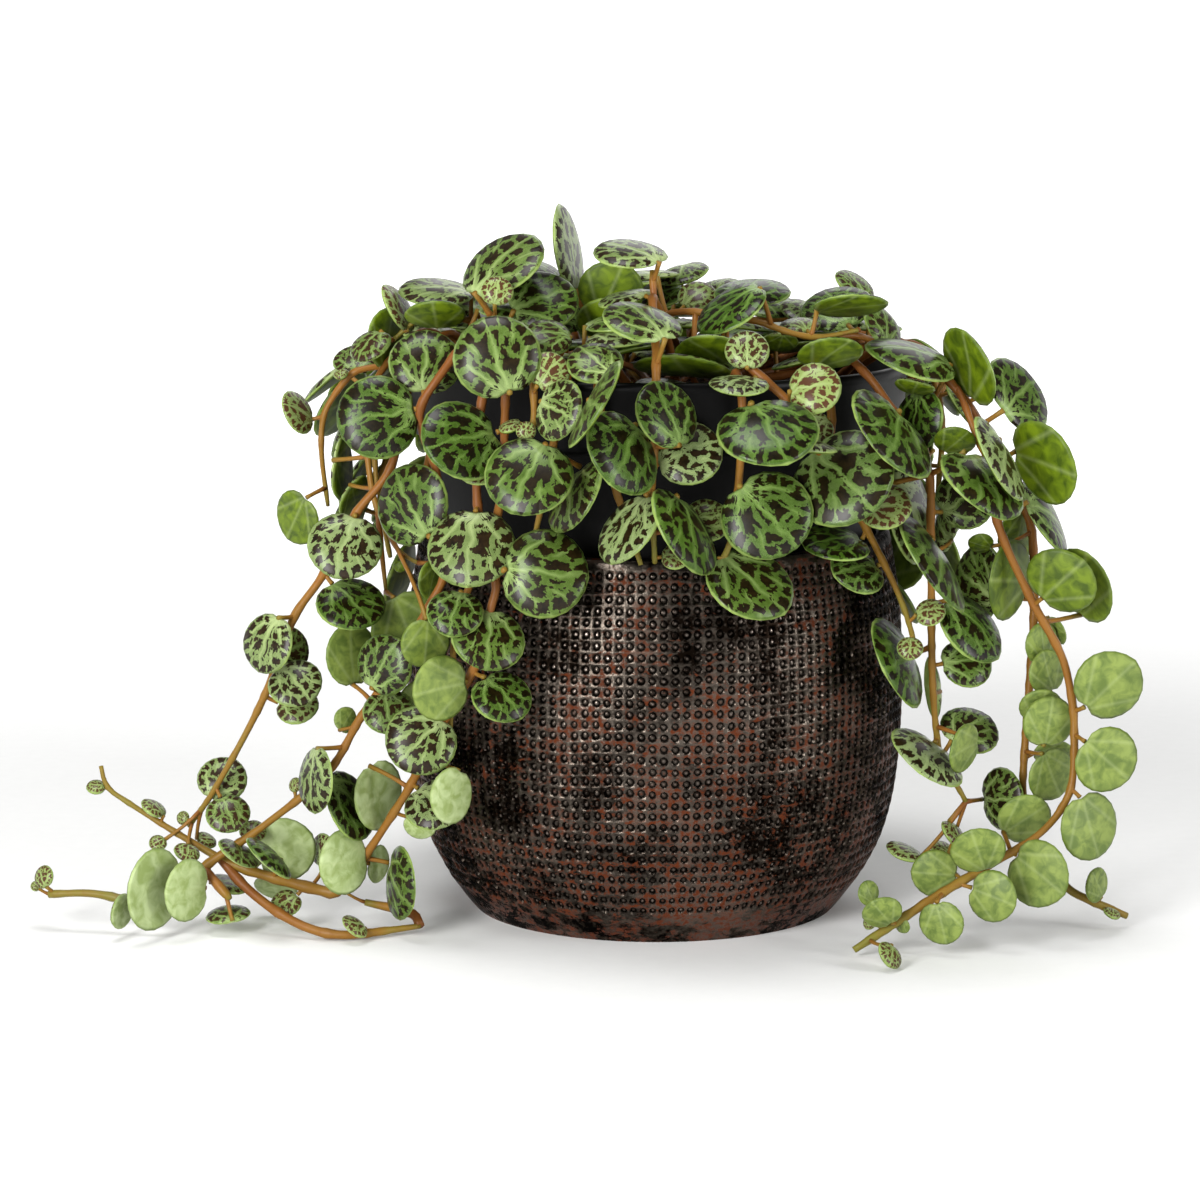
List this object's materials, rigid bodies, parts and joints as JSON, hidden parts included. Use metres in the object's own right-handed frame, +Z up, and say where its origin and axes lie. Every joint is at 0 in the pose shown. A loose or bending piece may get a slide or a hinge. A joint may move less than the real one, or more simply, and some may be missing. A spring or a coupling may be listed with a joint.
{
  "type": "potted string of turtles",
  "caption": "Trailing string of turtles with round patterned leaves, rooted in a black nursery pot inside a dimpled bronze ceramic cachepot.",
  "frame": {"origin": "centre of the cachepot's flat base, on the ground", "axes": "+Z up, -Y towards the viewer, +X to the viewer's right, along the longest trailing vines"},
  "size_m": [0.2144, 0.1509, 0.1402],
  "materials": {
    "bronze_glaze": "satin",
    "black_plastic": "satin",
    "potting_mix": "matte",
    "leaf_and_stem": "satin"
  },
  "bodies": {
    "root": {"cachepot": "bronze_glaze", "nursery_pot": "black_plastic", "potting_mix": "potting_mix", "vine_back_centre": "leaf_and_stem", "vine_back_left_1": "leaf_and_stem", "vine_back_left_2": "leaf_and_stem", "vine_back_left_3": "leaf_and_stem", "vine_back_left_4": "leaf_and_stem", "vine_back_right_1": "leaf_and_stem", "vine_back_right_2": "leaf_and_stem", "vine_back_right_3": "leaf_and_stem", "vine_crown_back_1": "leaf_and_stem", "vine_crown_back_2": "leaf_and_stem", "vine_crown_back_3": "leaf_and_stem", "vine_crown_back_4": "leaf_and_stem", "vine_crown_centre": "leaf_and_stem", "vine_crown_far_right": "leaf_and_stem", "vine_crown_left": "leaf_and_stem", "vine_crown_mid": "leaf_and_stem", "vine_crown_right": "leaf_and_stem", "vine_crown_right_back": "leaf_and_stem", "vine_crown_tall": "leaf_and_stem", "vine_front_centre": "leaf_and_stem", "vine_front_gloss": "leaf_and_stem", "vine_front_loop": "leaf_and_stem", "vine_front_mid_left": "leaf_and_stem", "vine_front_mid_right": "leaf_and_stem", "vine_front_right": "leaf_and_stem", "vine_front_short": "leaf_and_stem", "vine_left_inner": "leaf_and_stem", "vine_left_long": "leaf_and_stem", "vine_left_low": "leaf_and_stem", "vine_left_outer": "leaf_and_stem", "vine_left_red": "leaf_and_stem", "vine_left_thin": "leaf_and_stem", "vine_right_back": "leaf_and_stem", "vine_right_hanging": "leaf_and_stem", "vine_right_long": "leaf_and_stem", "vine_side_left_1": "leaf_and_stem", "vine_side_left_2": "leaf_and_stem", "vine_side_right_1": "leaf_and_stem", "vine_side_right_2": "leaf_and_stem"}
  },
  "joints": []
}
